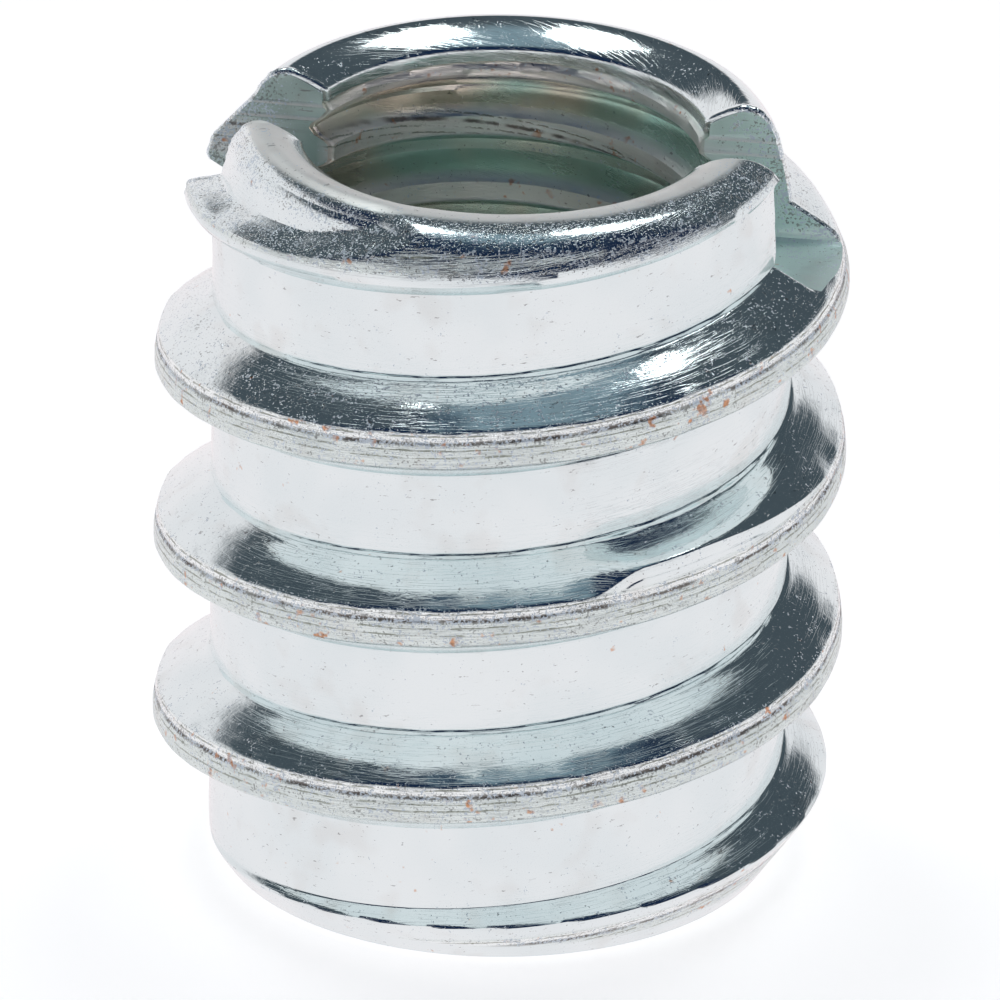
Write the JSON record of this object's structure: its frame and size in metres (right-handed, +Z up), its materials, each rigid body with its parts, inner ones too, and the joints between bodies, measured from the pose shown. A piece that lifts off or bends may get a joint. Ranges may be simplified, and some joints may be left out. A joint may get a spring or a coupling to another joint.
{
  "type": "threaded insert",
  "caption": "Slotted screw-in sleeve with a coarse external wood thread, a machine thread bore and a rounded slotted crown.",
  "frame": {"origin": "on the bore's axis, in the plane of the bottom face, which is the end that enters the wood first", "axes": "+Z up along the bore, out of the slotted crown; +X lies 9.3 degrees from the drive slot's direction, turned about +Z from it"},
  "size_m": [0.012, 0.012, 0.0137],
  "materials": {
    "zinc_plated_steel": "bright zinc plating with a faint blue passivation, mirror-like with fine pits and scratches"
  },
  "bodies": {
    "root": {"insert": "zinc_plated_steel"}
  },
  "joints": []
}
